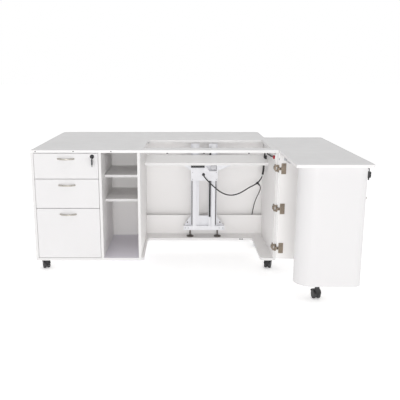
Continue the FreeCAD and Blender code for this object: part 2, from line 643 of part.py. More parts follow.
def lift_frame():
    y0, y1 = COLUMN_Y
    beam_x0 = LIFT_X - 137
    beam_x1 = LIFT_X + 143
    beam = block(beam_x0, beam_x1, y0, y1 + 6, BEAM_Z[0], BEAM_Z[1])
    cross = block(LIFT_X - 32, LIFT_X + 32, y0 + 20, y0 + 24, BEAM_Z[1], 245)
    gussets = []
    for side in (-1, 1):
        x = LIFT_X + side * 88
        gussets.append(prism([(x, y1 - 12, BEAM_Z[1]), (x + side * 44, y1 - 12, BEAM_Z[1]),
                              (x + side * 30, y1 - 12, 205), (x, y1 - 12, 240)], (0, 4, 0)))
    socket = block(TUBE_X - 8, TUBE_X + 8, y0, y0 + 14, BEAM_Z[1], TUBE_Z[0])
    add("lift_frame", beam, cross, socket, lift_column(-1), lift_column(1), *gussets)
    metal = []
    for x in (LIFT_X - 93, LIFT_X + 95):
        foot_y = 470.0
        metal.append(fuse(rod(24, 5, x, foot_y, FLOOR_Z, (0, 0, 1)),
                          rod(14, 4, x, foot_y, FLOOR_Z + 5, (0, 0, 1)),
                          rod(5, BEAM_Z[0] - FLOOR_Z - 9, x, foot_y, FLOOR_Z + 9, (0, 0, 1)),
                          rod(8.5, 6, x, foot_y, BEAM_Z[0] - 6, (0, 0, 1))))
    for side in (-1, 1):
        metal.append(rod(4.5, 3.5, LIFT_X + side * 112, y1 - 12, 196, (0, -1, 0)))
    add("lift_feet_and_bolts", *metal)
    add("lift_drive_tube", rod(TUBE_R, TUBE_Z[1] - TUBE_Z[0], TUBE_X, TUBE_Y, TUBE_Z[0], (0, 0, 1)))


def lift_carriage():
    """Everything that rises with the platform."""
    add("platform", block(PLATFORM_X[0], PLATFORM_X[1], PLATFORM_Y[0], PLATFORM_Y[1],
                          HEAD_Z[1], HEAD_Z[1] + BOARD))
    x0 = LIFT_X - HEAD_HALF_W
    x1 = LIFT_X + HEAD_HALF_W
    y0, y1 = HEAD_Y
    head = block(x0, x1, y0, y1, HEAD_Z[0], HEAD_Z[1])
    bay_x0 = GLAND_X + 8
    bay_x1 = x1 - 8
    window = prism([(bay_x0, y0, BAY_Z[1]), (bay_x0 + 32, y0, BAY_Z[0]), (bay_x1, y0, BAY_Z[0]),
                    (bay_x1, y0, BAY_Z[1])], (0, BAY_D, 0))
    head = head.cut(window)
    shoes = []
    for side in (-1, 1):
        shoe_x = LIFT_X + side * 77
        shoes.append(block(shoe_x, shoe_x + side * 8, y1, y1 + 16, HEAD_Z[0] + 15, HEAD_Z[1] - 15))
    nut = block(TUBE_X - 9, TUBE_X + 9, y1, y1 + 17, 590, 620)
    nut = nut.common(block(0, LIFT_X + 50, 0, 999, 0, 999))
    nut = nut.cut(rod(TUBE_R + FIT, 60, TUBE_X, TUBE_Y, 580, (0, 0, 1)))
    brackets = []
    for edge, reach in ((x0, -BRACKET_REACH[0]), (x1, BRACKET_REACH[1])):
        brackets.append(prism([(edge, y0 + 6, HEAD_Z[1]), (edge + reach, y0 + 6, HEAD_Z[1]),
                               (edge, y0 + 6, HEAD_Z[1] - BRACKET_H)], (0, 4, 0)))
    add("lift_head", fuse(head, nut, *shoes, *brackets))
    motor_z = (BAY_Z[0] + BAY_Z[1]) / 2
    motor = rod(17, bay_x1 - 4 - (bay_x0 + 42), bay_x0 + 42, y0 + 14, motor_z, (1, 0, 0))
    motor = motor.common(block(0, 2000, y0 + 2, y0 + BAY_D, BAY_Z[0], BAY_Z[1]))
    bar = block(x0, GLAND_X + 7, y0 - 6, y0, *BAR_Z)
    nose = Part.makeCone(8.0, CABLE_R + 1.4, 12.0, V(GLAND_X, y0 - 2, GLAND_Z), V(0, -1, 0))
    gland = fuse(rod(10, 2, GLAND_X, y0, GLAND_Z, (0, -1, 0)), nose)
    add("lift_motor_and_gland", motor, bar, gland)


# ---------------------------------------------------------------- switch and cords
def switch():
    x0 = RIGHT_X - SWITCH_D
    case = block(x0, RIGHT_X, SWITCH_Y - SWITCH_HALF, SWITCH_Y + SWITCH_HALF,
                 SWITCH_Z - SWITCH_HALF, SWITCH_Z + SWITCH_HALF)
    case = case.cut(rod(BUTTON_R + 0.3, SWITCH_D, x0, SWITCH_Y, SWITCH_Z, (1, 0, 0)))
    add("switch_case", case)
    length = BUTTON_OUT + SWITCH_D - BUTTON_TRAVEL - 0.5
    button = rod(BUTTON_R, length, x0 - BUTTON_OUT, SWITCH_Y, SWITCH_Z, (1, 0, 0))
    crown = [e for e in button.Edges if isinstance(e.Curve, Part.Circle) and e.BoundBox.XMax < x0 - 1]
    add("switch_button", button.makeFillet(3.0, crown))


def cord_tube(route, radius, label):
    """A tube of straight runs and tangent arcs along a route; reports its radii."""
    points = [V(*p) for p in route]
    edges = []
    radii = []
    length = 0.0
    start = points[0]
    for i in range(1, len(points) - 1):
        back = points[i - 1] - points[i]
        ahead = points[i + 1] - points[i]
        shorter = min(back.Length, ahead.Length)
        turn = math.pi - back.getAngle(ahead)
        trim = 0.45 * shorter
        arc_r = trim / math.tan(turn / 2)
        radii.append(arc_r)
        b = back.normalize()
        f = ahead.normalize()
        p_in = points[i] + b * trim
        p_out = points[i] + f * trim
        middle = (b + f).normalize()
        apex = points[i] + middle * (arc_r / math.cos(turn / 2) - arc_r)
        edges.append(Part.LineSegment(start, p_in).toShape())
        edges.append(Part.Arc(p_in, apex, p_out).toShape())
        length += (p_in - start).Length + arc_r * turn
        start = p_out
    edges.append(Part.LineSegment(start, points[-1]).toShape())
    length += (points[-1] - start).Length
    path = Part.Wire(edges)
    direction = (points[1] - points[0]).normalize()
    section = Part.Wire(Part.Circle(points[0], direction, radius).toShape())
    tube = path.makePipeShell([section], True, False)
    expected = math.pi * radius * radius * length
    print(f"{label}: length {length:.0f}, radii {min(radii):.0f} to {max(radii):.0f},"
          f" volume ratio {tube.Volume / expected:.4f}, valid {tube.isValid()}")
    return tube


def cords():
    add("lift_cable", cord_tube(CABLE_ROUTE, CABLE_R, "lift cable"))
    add("mains_lead", cord_tube(LEAD_ROUTE, LEAD_R, "mains lead"))
    ring = rod(COIL_OUT_R, COIL_H, COIL_X, COIL_Y, 0, (0, 0, 1))
    ring = ring.cut(rod(COIL_IN_R, COIL_H, COIL_X, COIL_Y, 0, (0, 0, 1)))
    add("mains_coil", ring)
    body = block(PLUG_X, PLUG_X + 45, PLUG_Y - 19, PLUG_Y + 19, 0, 26)
    relief = rod(6, 24, PLUG_X + 45, PLUG_Y, 9, (1, 0, 0))
    pins = [rod(2.4, 19, PLUG_X, PLUG_Y + side * 9.5, 13, (-1, 0, 0)) for side in (-1, 1)]
    add("mains_plug", fuse(body, relief, *pins))


def origin():
    """The middle of the footprint of everything but the cords."""
    solids = [shape for name, shape in NODES.items() if name not in CORD_NODES]
    box = Part.makeCompound(solids).optimalBoundingBox(False)
    return V((box.XMin + box.XMax) / 2, (box.YMin + box.YMax) / 2, box.ZMin)


def make_all():
    carcass()
    base_board()
    main_top()
    drawers()
    add("leaf_hinge_plates", *rear_leaf(), *side_leaf())
    wing()
    arms = wing_hinges()
    door_halves = door_hardware()
    add("wing_fittings", casters(), *arms, *door_halves)
    lift_frame()
    lift_carriage()
    switch()
    cords()


def write_parts():
    make_all()
    os.makedirs("parts", exist_ok=True)
    shift = origin()
    print(f"origin in table coordinates: {shift.x:.3f} {shift.y:.3f} {shift.z:.3f}")
    for name, shape in NODES.items():
        moved = shape.copy()
        moved.translate(shift.negative())
        bad = [i for i, s in enumerate(moved.Solids) if not s.isValid() or s.Volume <= 0]
        if bad or not moved.Solids:
            print("check", name, bad)
        moved.exportStep(f"parts/{name}.step")
    print(len(NODES), "nodes")


if __name__ == "__main__":
    write_parts()
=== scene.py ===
"""The looks of the sewing table: cords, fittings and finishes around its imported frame."""
import json
import math

import bmesh
import bpy
from mathutils import Matrix, Vector


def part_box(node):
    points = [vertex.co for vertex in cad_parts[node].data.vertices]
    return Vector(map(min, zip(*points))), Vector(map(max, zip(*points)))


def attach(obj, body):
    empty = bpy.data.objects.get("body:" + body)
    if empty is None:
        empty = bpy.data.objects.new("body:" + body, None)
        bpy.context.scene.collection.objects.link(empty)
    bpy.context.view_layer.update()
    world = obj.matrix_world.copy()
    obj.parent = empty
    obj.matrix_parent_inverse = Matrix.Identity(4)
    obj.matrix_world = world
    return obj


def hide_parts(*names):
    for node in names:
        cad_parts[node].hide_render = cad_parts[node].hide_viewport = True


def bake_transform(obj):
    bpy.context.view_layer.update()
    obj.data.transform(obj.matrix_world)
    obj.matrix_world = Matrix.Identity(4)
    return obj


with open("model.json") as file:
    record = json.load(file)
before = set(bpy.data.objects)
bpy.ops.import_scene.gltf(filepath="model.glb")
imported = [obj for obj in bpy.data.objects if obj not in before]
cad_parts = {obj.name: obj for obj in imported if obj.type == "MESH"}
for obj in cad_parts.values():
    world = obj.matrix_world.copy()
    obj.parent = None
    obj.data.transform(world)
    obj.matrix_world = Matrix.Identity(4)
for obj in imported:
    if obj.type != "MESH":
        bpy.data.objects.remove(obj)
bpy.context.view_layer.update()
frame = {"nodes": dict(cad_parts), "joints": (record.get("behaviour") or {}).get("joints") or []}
nodes = frame["nodes"]

# Places are given in metres from the main top's left front corner and the floor.
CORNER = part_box("main_top")[0]


def at(x, y, z):
    return Vector((CORNER.x + x, CORNER.y + y, z))


# ---------------------------------------------------------------- driving sizes
BOARD_EDGE = 0.0008          # rounding of the boards' edge banding
CABLE_D = 0.008
LEAD_D = 0.006
COIL_R = 0.033               # middle of the coil's turns
COIL_CENTRE = (1.262, 0.730)
COIL_TURNS = 5
POINTS_A_TURN = 13
TURN_R = (0.0372, 0.0308, 0.0308, 0.0372, 0.0340)
TURN_Z = (0.0040, 0.0040, 0.0100, 0.0100, 0.0160)
PLUG_FACE_X = 1.165          # the face that carries the pins
PLUG_Z = 0.013
PLUG_LENGTH = 0.044
PLUG_HALF_WIDTH = 0.0185
PLUG_TOP = 0.0255
PIN_SPREAD = 0.0095          # each pin's distance from the plug's middle
CABLE_ROUTE = (
    (1.035, 0.3846, 0.543), (1.035, 0.360, 0.542), (1.043, 0.336, 0.534), (1.061, 0.320, 0.516),
    (1.088, 0.316, 0.490), (1.117, 0.321, 0.462), (1.149, 0.333, 0.436), (1.186, 0.348, 0.417),
    (1.226, 0.364, 0.410), (1.266, 0.381, 0.415), (1.303, 0.397, 0.431), (1.342, 0.413, 0.453),
    (1.380, 0.426, 0.468), (1.409, 0.433, 0.488), (1.427, 0.430, 0.518), (1.434, 0.417, 0.558),
    (1.434, 0.403, 0.602), (1.436, 0.396, 0.648), (1.435, 0.382, 0.688), (1.436, 0.354, 0.712),
    (1.435, 0.318, 0.714), (1.436, 0.280, 0.703), (1.437, 0.238, 0.700), (1.440, 0.196, 0.704),
    (1.442, 0.156, 0.703), (1.443, 0.118, 0.708), (1.444, 0.082, 0.708), (1.4446, 0.045, 0.712),
)
LEAD_ROUTE = (
    (1.400, 0.4305, 0.478), (1.419, 0.441, 0.462), (1.425, 0.455, 0.436), (1.415, 0.471, 0.401),
    (1.401, 0.487, 0.363), (1.393, 0.511, 0.323), (1.389, 0.535, 0.282), (1.386, 0.558, 0.245),
    (1.383, 0.565, 0.202), (1.380, 0.571, 0.152), (1.379, 0.581, 0.126), (1.377, 0.603, 0.110),
    (1.373, 0.628, 0.092), (1.371, 0.644, 0.062), (1.368, 0.655, 0.030), (1.358, 0.680, 0.008),
    (1.341, 0.712, 0.0032), (1.312, 0.743, 0.0036), (1.276, 0.763, 0.005),
)


# the studio's light by direction: bright horizon, dim middle, bright overhead
HORIZON = 1.0
MIDDLE = 0.42
OVERHEAD = 1.20
FLOOR_GLOW = 0.34
LAMP_PLACE = (0.0, -14.0, 1.6)
LAMP_WATTS = 430
LAMP_SIZE = (3.0, 2.0)


# ---------------------------------------------------------------- camera, light and floor
def studio():
    scene = bpy.context.scene
    camera = bpy.data.objects.new("camera", bpy.data.cameras.new("camera"))
    scene.collection.objects.link(camera)
    camera.location = at(0.899, -3.333, 1.2315)
    camera.rotation_euler = (math.radians(90 - 13), 0, 0)
    camera.data.sensor_width = 36.0
    camera.data.lens = 51.39
    camera.data.shift_x = 0.0425
    camera.data.clip_start = 0.01
    camera.data.clip_end = 200.0
    scene.camera = camera
    scene.view_settings.view_transform = "Standard"
    scene.view_settings.look = "None"

    world = bpy.data.worlds.new("studio")
    scene.world = world
    world.use_nodes = True
    tree = world.node_tree
    background = tree.nodes["Background"]
    background.inputs["Color"].default_value = (1, 1, 1, 1)
    sky = node(tree, "SeparateXYZ", {"Vector": node(tree, "TexCoord").outputs["Generated"]})
    horizon = remap(tree, sky.outputs["Z"], 0.20, 0.38, HORIZON, MIDDLE)
    overhead = remap(tree, sky.outputs["Z"], 0.50, 1.0, MIDDLE, OVERHEAD)
    strength = node(tree, "Math", {0: horizon, 1: overhead}, operation="MAXIMUM").outputs[0]
    tree.links.new(strength, background.inputs["Strength"])

    light = bpy.data.lights.new("softbox", "AREA")
    light.shape = "RECTANGLE"
    light.size, light.size_y = LAMP_SIZE
    light.energy = LAMP_WATTS
    lamp = bpy.data.objects.new("softbox", light)
    scene.collection.objects.link(lamp)
    lamp.location = Vector(LAMP_PLACE)
    lamp.rotation_euler = (math.radians(90), 0, 0)

    half = 40.0
    below = -0.0005
    corners = [(-half, -half, below), (half, -half, below), (half, half, below), (-half, half, below)]
    floor = mesh_object("floor", corners, [(0, 1, 2, 3)])
    finish, tree, surface = shader("floor_white", (0.97, 0.97, 0.97), 0.9)
    surface.inputs["Emission Color"].default_value = (1, 1, 1, 1)
    surface.inputs["Emission Strength"].default_value = FLOOR_GLOW
    floor.data.materials.append(finish)


# ---------------------------------------------------------------- shader helpers
def node(tree, kind, inputs=None, **settings):
    """A shader node with its settings and its inputs, which are values or sockets."""
    made = tree.nodes.new("ShaderNode" + kind)
    for key, value in settings.items():
        setattr(made, key, value)
    for key, value in (inputs or {}).items():
        if isinstance(value, bpy.types.NodeSocket):
            tree.links.new(value, made.inputs[key])
        else:
            made.inputs[key].default_value = value
    return made


def shader(name, colour, rough, metal=0.0):
    finish = bpy.data.materials.new(name)
    finish.use_nodes = True
    tree = finish.node_tree
    surface = tree.nodes["Principled BSDF"]
    surface.inputs["Base Color"].default_value = (*colour, 1)
    surface.inputs["Roughness"].default_value = rough
    surface.inputs["Metallic"].default_value = metal
    return finish, tree, surface


def remap(tree, value, low, high, to_low, to_high):
    inputs = {"Value": value, "From Min": low, "From Max": high, "To Min": to_low, "To Max": to_high}
    return node(tree, "MapRange", inputs).outputs["Result"]


def noise(tree, scale, detail=2.0, stretch=(1, 1, 1)):
    """Noise in metres that stays with the piece; stretch draws it out along an axis."""
    place = node(tree, "TexCoord").outputs["Object"]
    if stretch != (1, 1, 1):
        place = node(tree, "Mapping", {"Vector": place, "Scale": stretch}).outputs["Vector"]
    return node(tree, "TexNoise", {"Vector": place, "Scale": scale, "Detail": detail}).outputs["Fac"]


def blend_colours(tree, factor, first, second):
    """Mixes two colours, each a tuple or a socket."""
    mix = tree.nodes.new("ShaderNodeMix")
    mix.data_type = "RGBA"
    tree.links.new(factor, mix.inputs[0])
    for index, colour in ((6, first), (7, second)):
        if isinstance(colour, tuple):
            mix.inputs[index].default_value = (*colour, 1)
        else:
            tree.links.new(colour, mix.inputs[index])
    return mix.outputs[2]


def bump(tree, surface, height, distance, strength=1.0):
    inputs = {"Height": height, "Distance": distance, "Strength": strength}
    tree.links.new(node(tree, "Bump", inputs).outputs["Normal"], surface.inputs["Normal"])


def darker(colour, factor):
    return tuple(channel * factor for channel in colour)


# ---------------------------------------------------------------- finishes
def cubby_painted_shade(tree, face_tone_and_shade):
    """Painted shade: a cool lavender tinge on the base board between the cubby's two uprights."""
    place = node(tree, "SeparateXYZ", {"Vector": node(tree, "TexCoord").outputs["Object"]})
    after = remap(tree, place.outputs["X"], CORNER.x + 0.4145, CORNER.x + 0.4155, 0.0, 1.0)
    before = remap(tree, place.outputs["X"], CORNER.x + 0.6275, CORNER.x + 0.6285, 1.0, 0.0)
    within = node(tree, "Math", {0: after, 1: before}, operation="MULTIPLY").outputs[0]
    return blend_colours(tree, within, face_tone_and_shade, CUBBY_SHADE_LAVENDER)


def melamine(name, face, edge, rough, thin, painted_cubby_shade=False):
    """White melamine-faced board; where the normal leaves the thin axis, the narrow faces take their own
    copy of the white, painted light and shade by facing.
    """
    finish, tree, surface = shader(name, face, rough)
    cloud = remap(tree, noise(tree, 2.5), 0.35, 0.65, 0.0, 1.0)
    face_tone_and_shade = blend_colours(tree, cloud, darker(face, 0.985), face)
    scuffs = remap(tree, noise(tree, 9.0, 5.0, (1, 1, 3)), 0.58, 0.75, 0.0, 0.5)
    face_tone_and_shade = blend_colours(tree, scuffs, face_tone_and_shade, darker(face, 0.975))
    # Painted shade: the lavender tinge inside the cubby, on the base board only.
    if painted_cubby_shade:
        face_tone_and_shade = cubby_painted_shade(tree, face_tone_and_shade)
    normal = node(tree, "SeparateXYZ", {"Vector": node(tree, "TexCoord").outputs["Normal"]})
    facing = node(tree, "Math", {0: normal.outputs[thin]}, operation="ABSOLUTE").outputs[0]
    # Painted light and shade by facing: the narrow faces' copy is darker than the faces on the carcass
    # boards and lighter on the tops.
    narrow_faces_painted_tone = remap(tree, facing, 0.35, 0.75, 1.0, 0.0)
    tree.links.new(blend_colours(tree, narrow_faces_painted_tone, face_tone_and_shade, edge), surface.inputs["Base Color"])
    tree.links.new(remap(tree, noise(tree, 14.0, 4.0), 0.3, 0.7, rough - 0.05, rough + 0.06),
                   surface.inputs["Roughness"])
    pearl = noise(tree, 700.0, 2.0)
    bump(tree, surface, pearl, 0.00005, 0.6)
    return finish


def brushed(name, colour, rough, stretch, depth=0.00002):
    """Metal with fine drawn lines along one axis and slight handling marks."""
    finish, tree, surface = shader(name, colour, rough, metal=1.0)
    lines = noise(tree, 900.0, 2.0, stretch)
    tree.links.new(blend_colours(tree, lines, darker(colour, 0.86), colour), surface.inputs["Base Color"])
    marks = noise(tree, 60.0, 3.0)
    tree.links.new(remap(tree, marks, 0.3, 0.7, rough - 0.06, rough + 0.1), surface.inputs["Roughness"])
    bump(tree, surface, lines, depth, 0.5)
    return finish


def plated(name, colour, rough):
    """Zinc or nickel plate: a faint cloudy bloom with darker specks."""
    finish, tree, surface = shader(name, colour, rough, metal=1.0)
    bloom = remap(tree, noise(tree, 160.0, 4.0), 0.3, 0.7, 0.0, 1.0)
    tree.links.new(blend_colours(tree, bloom, darker(colour, 0.8), colour), surface.inputs["Base Color"])
    tree.links.new(remap(tree, bloom, 0.0, 1.0, rough + 0.12, rough), surface.inputs["Roughness"])
    bump(tree, surface, noise(tree, 1400.0), 0.00001, 0.5)
    return finish


def painted(name, colour, rough, peel=0.00006):
    """Powder coat with orange peel, rubbed a little darker in places."""
    finish, tree, surface = shader(name, colour, rough)
    worn = remap(tree, noise(tree, 24.0, 5.0), 0.6, 0.8, 0.0, 1.0)
    tree.links.new(blend_colours(tree, worn, colour, darker(colour, 0.93)), surface.inputs["Base Color"])
    tree.links.new(remap(tree, worn, 0.0, 1.0, rough, rough - 0.08), surface.inputs["Roughness"])
    bump(tree, surface, noise(tree, 520.0, 1.0), peel, 0.7)
    return finish


def moulded(name, colour, rough, grain=0.00004, scale=1100.0):
    """Moulded plastic or rubber with a fine spark-eroded grain."""
    finish, tree, surface = shader(name, colour, rough)
    dust = remap(tree, noise(tree, 45.0, 5.0), 0.5, 0.8, 0.0, 0.35)
    pale = tuple(min(1.0, channel * 1.25 + 0.012) for channel in colour)
    tree.links.new(blend_colours(tree, dust, colour, pale), surface.inputs["Base Color"])
    tree.links.new(remap(tree, dust, 0.0, 0.35, rough, rough + 0.15), surface.inputs["Roughness"])
    bump(tree, surface, noise(tree, scale, 1.0), grain, 0.6)
    return finish


def head_black_and_recess_shade():
    """Black bar and cable gland on the lift head; the motor's part above and right of them is bluish,
    painted shade of the recess at the head's top right.
    """
    finish, tree, surface = shader("lift_motor_and_gland", (0.5, 0.5, 0.5), 0.4)
    place = node(tree, "SeparateXYZ", {"Vector": node(tree, "TexCoord").outputs["Object"]})
    right = remap(tree, place.outputs["X"], CORNER.x + 1.0440, CORNER.x + 1.0442, 0.0, 1.0)
    above = remap(tree, place.outputs["Z"], 0.5560, 0.5562, 0.0, 1.0)
    motor = node(tree, "Math", {0: right, 1: above}, operation="MULTIPLY").outputs[0]
    # Painted shade: a mottled bluish tone where the head's top right recess lies in shadow; black
    # elsewhere.
    shade_mottle = remap(tree, noise(tree, 90.0, 4.0), 0.3, 0.7, 0.0, 1.0)
    recess_shade_tone = blend_colours(tree, shade_mottle, (0.52, 0.52, 0.54), (0.60, 0.60, 0.62))
    tree.links.new(blend_colours(tree, motor, (0.018, 0.018, 0.019), recess_shade_tone), surface.inputs["Base Color"])
    bump(tree, surface, noise(tree, 800.0), 0.00004, 0.6)
    return finish


# One white melamine in lit and shaded copies, painted light and shade: the carcass boards' faces take the
# lightest copy, which lifts the shaded knee space; the fronts, the wing's curved panels, the tops and the
# boards' narrow faces take darker copies, and on the tops the darker copy is painted shade.
LIT_WHITE = (0.90, 0.884, 0.876)
# Painted shade: the lavender tinge on the cubby's floor.
CUBBY_SHADE_LAVENDER = (0.86, 0.83, 0.90)
EDGE_SHADED_COPY = (0.765, 0.755, 0.75)
TOP_EDGE_SHADED_COPY = (0.83, 0.82, 0.815)
TOP_SHADED_COPY = (0.755, 0.747, 0.747)
FRONT_SHADED_COPY = (0.755, 0.743, 0.746)
BOARDS = [melamine(f"melamine_{axis}", LIT_WHITE, EDGE_SHADED_COPY, 0.42, index) for index, axis in enumerate("xyz")]
BASE = melamine("melamine_base", LIT_WHITE, EDGE_SHADED_COPY, 0.42, 2, painted_cubby_shade=True)
TOPS = melamine("melamine_top", TOP_SHADED_COPY, TOP_EDGE_SHADED_COPY, 0.36, 2)
FRONTS = melamine("melamine_front", FRONT_SHADED_COPY, FRONT_SHADED_COPY, 0.40, 1)
CURVED = melamine("melamine_curved", FRONT_SHADED_COPY, FRONT_SHADED_COPY, 0.38, 2)
SATIN_X = brushed("satin_nickel_x", (0.55, 0.52, 0.47), 0.30, (0.02, 1, 1))
SATIN_Y = brushed("satin_nickel_y", (0.55, 0.52, 0.47), 0.30, (1, 0.02, 1))
ZINC = plated("bright_zinc", (0.60, 0.61, 0.63), 0.32)
HINGE = plated("bronzed_nickel", (0.30, 0.25, 0.20), 0.36)
DARK_STEEL = plated("dark_steel", (0.16, 0.145, 0.13), 0.38)
LIFT_WHITE = painted("lift_powder_coat", (0.80, 0.80, 0.83), 0.38)
BLACK_PAINT = painted("black_paint", (0.016, 0.016, 0.017), 0.35)
BLACK_PLASTIC = moulded("black_nylon", (0.022, 0.022, 0.024), 0.42)
BLACK_RUBBER = moulded("black_sheath", (0.018, 0.018, 0.019), 0.5, 0.00003)
# Painted shade: the dark brown of the columns' slots.
SLOT_SHADE_BROWN = moulded("slot_liner_brown", (0.075, 0.058, 0.055), 0.7)
TREAD = moulded("wheel_tread", (0.035, 0.035, 0.037), 0.55)
# Black bar and gland, with painted shade on the head's top right.
HEAD_BLACK_AND_RECESS_SHADE = head_black_and_recess_shade()
WHITE_PLASTIC = moulded("white_abs", (0.82, 0.82, 0.81), 0.32, 0.00002)
RED_PLASTIC = moulded("red_button_plastic", (0.36, 0.006, 0.02), 0.25, 0.00001)
BLACK_CHROME = plated("black_chrome", (0.035, 0.035, 0.037), 0.22)
PALE_TIE = moulded("pale_tie", (0.62, 0.63, 0.60), 0.4)


# ---------------------------------------------------------------- mesh helpers
def mesh_object(name, points, faces, smooth=False):
    mesh = bpy.data.meshes.new(name)
    mesh.from_pydata([tuple(point) for point in points], [], faces)
    mesh.update()
    mesh.polygons.foreach_set("use_smooth", [smooth] * len(mesh.polygons))
    piece = bpy.data.objects.new(name, mesh)
    bpy.context.scene.collection.objects.link(piece)
    return piece


def dress(piece, finish, body):
    piece.data.materials.append(finish)
    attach(piece, body)
    return piece


def from_bmesh(name, build, smooth=True):
    bmesh.ops.recalc_face_normals(build, faces=build.faces)
    mesh = bpy.data.meshes.new(name)
    build.to_mesh(mesh)
    build.free()
    mesh.polygons.foreach_set("use_smooth", [smooth] * len(mesh.polygons))
    piece = bpy.data.objects.new(name, mesh)
    bpy.context.scene.collection.objects.link(piece)
    return piece


def bevelled(piece, width, segments=2, angle=30):
    modifier = piece.modifiers.new("rounded edges", "BEVEL")
    modifier.width = width
    modifier.segments = segments
    modifier.limit_method = "ANGLE"
    modifier.angle_limit = math.radians(angle)
    modifier.harden_normals = True
    return piece


def solids_of(name):
    """The separate solids of a CAD node as bmeshes, each with its flat faces made whole."""
    whole = bmesh.new()
    whole.from_mesh(nodes[name].data)
    bmesh.ops.remove_doubles(whole, verts=whole.verts, dist=1e-6)
    left = set(whole.faces)
    parts = []
    while left:
        seed = next(face for face in whole.faces if face in left)
        group = {seed}
        waiting = [seed]
        while waiting:
            for edge in waiting.pop().edges:
                if len(edge.link_faces) != 2:
                    continue
                for face in edge.link_faces:
                    if face not in group:
                        group.add(face)
                        waiting.append(face)
        left -= group
        part = bmesh.new()
        corners = {}
        for face in whole.faces:
            if face not in group:
                continue
            for vert in face.verts:
                if vert not in corners:
                    corners[vert] = part.verts.new(vert.co)
            part.faces.new([corners[vert] for vert in face.verts])
        bmesh.ops.dissolve_limit(part, angle_limit=math.radians(0.5), verts=part.verts, edges=part.edges)
        parts.append(part)
    whole.free()
    return parts


def thin_axis(part):
    spans = [max(v.co[i] for v in part.verts) - min(v.co[i] for v in part.verts) for i in range(3)]
    return spans.index(min(spans))


def softened(name, body, finishes, edge=BOARD_EDGE):
    """Each board of a CAD node again, with its banded edges rounded; finishes go by thin axis."""
    made = []
    for count, part in enumerate(solids_of(name)):
        finish = finishes[thin_axis(part)]
        piece = from_bmesh(f"{name}_board_{count + 1}", part)
        dress(bevelled(piece, edge), finish, body)
        made.append(piece)
    for piece in made:
        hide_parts(name)
    return made


def lathe(profile, segments=24):
    """A bmesh turned about the z axis from (radius, height) points, closed at radius 0."""
    build = bmesh.new()
    rings = []
    for radius, height in profile:
        if radius < 1e-7:
            rings.append([build.verts.new((0, 0, height))])
            continue
        ring = []
        for i in range(segments):
            angle = 2 * math.pi * i / segments
            ring.append(build.verts.new((radius * math.cos(angle), radius * math.sin(angle), height)))
        rings.append(ring)
    for low, high in zip(rings, rings[1:]):
        for i in range(segments):
            j = (i + 1) % segments
            if len(low) == 1:
                build.faces.new((low[0], high[j], high[i]))
            elif len(high) == 1:
                build.faces.new((low[i], low[j], high[0]))
            else:
                build.faces.new((low[i], low[j], high[j], high[i]))
    return build


def turned_to(direction):
    """The turn that takes +z to a direction."""
    return Vector((0, 0, 1)).rotation_difference(Vector(direction)).to_matrix().to_4x4()


def box_mesh(low, high):
    build = bmesh.new()
    bmesh.ops.create_cube(build, size=1.0)
    centre = (Vector(low) + Vector(high)) / 2
    span = Vector(high) - Vector(low)
    for vert in build.verts:
        vert.co = Vector((vert.co[i] * span[i] + centre[i] for i in range(3)))
    return build


def joined(name, parts):
    """One mesh piece from (bmesh, matrix) pairs."""
    whole = bmesh.new()
    for part, matrix in parts:
        part.transform(matrix)
        copy = bpy.data.meshes.new("part")
        part.to_mesh(copy)
        part.free()
        whole.from_mesh(copy)
        bpy.data.meshes.remove(copy)
    return from_bmesh(name, whole)


def tube(name, path, radii, segments=16):
    """A closed tube round a path, with a radius for each of its points."""
    build = bmesh.new()
    rings = []
    side = None
    for i, place in enumerate(path):
        ahead = (path[min(i + 1, len(path) - 1)] - path[max(i - 1, 0)]).normalized()
        if side is None:
            side = ahead.orthogonal().normalized()
        side = (side - ahead * side.dot(ahead)).normalized()
        other = ahead.cross(side)
        ring = []
        for k in range(segments):
            angle = 2 * math.pi * k / segments
            offset = side * math.cos(angle) + other * math.sin(angle)
            ring.append(build.verts.new(place + offset * radii[i]))
        rings.append(ring)
    for low, high in zip(rings, rings[1:]):
        for k in range(segments):
            j = (k + 1) % segments
            build.faces.new((low[k], low[j], high[j], high[k]))
    build.faces.new(rings[0][::-1])
    build.faces.new(rings[-1])
    return from_bmesh(name, build)


# ---------------------------------------------------------------- boards
def boards():
    cabinet = ("left_side_panel", "right_side_panel", "dividers", "back_panels_and_rail",
               "cubby_shelves")
    for name in cabinet:
        softened(name, "cabinet", BOARDS)
    softened("base_board", "cabinet", [BASE] * 3)
    for size in ("top", "middle", "bottom"):
        softened(size + "_drawer", size + "_drawer", [BOARDS[0], FRONTS, BOARDS[2]])
    softened("platform", "lift", BOARDS)
    softened("wing_boards", "wing", BOARDS)
    softened("wing_end_panel", "wing", [CURVED] * 3)
    softened("wing_door", "wing_door", [CURVED] * 3)
    for name, body in (("main_top", "cabinet"), ("rear_leaf", "rear_leaf"), ("side_leaf", "side_leaf"),
                       ("wing_top", "wing")):
        softened(name, body, [TOPS] * 3)


